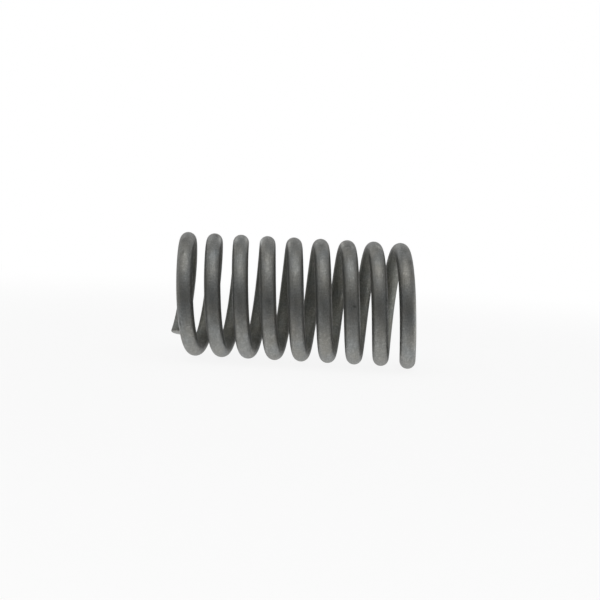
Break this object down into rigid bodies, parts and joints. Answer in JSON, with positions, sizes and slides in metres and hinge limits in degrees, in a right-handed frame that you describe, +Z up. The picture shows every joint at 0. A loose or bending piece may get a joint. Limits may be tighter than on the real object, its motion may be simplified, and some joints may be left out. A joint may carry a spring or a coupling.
{
  "type": "helical compression spring",
  "caption": "Open-coiled compression spring of round steel wire, right-hand wound, with plain sheared ends, for pushing back along its axis over a rod or in a bore.",
  "frame": {"origin": "middle of the underside of the spring as it lies on its side", "axes": "+X along the coil's axis from the left end to the right end, +Z up, front to -Y"},
  "size_m": [0.0515, 0.025, 0.0253],
  "materials": {
    "spring_steel": "matte grey oil-tempered spring wire with a fine peened grain"
  },
  "bodies": {
    "root": {"coil_spring": "spring_steel"}
  },
  "joints": []
}
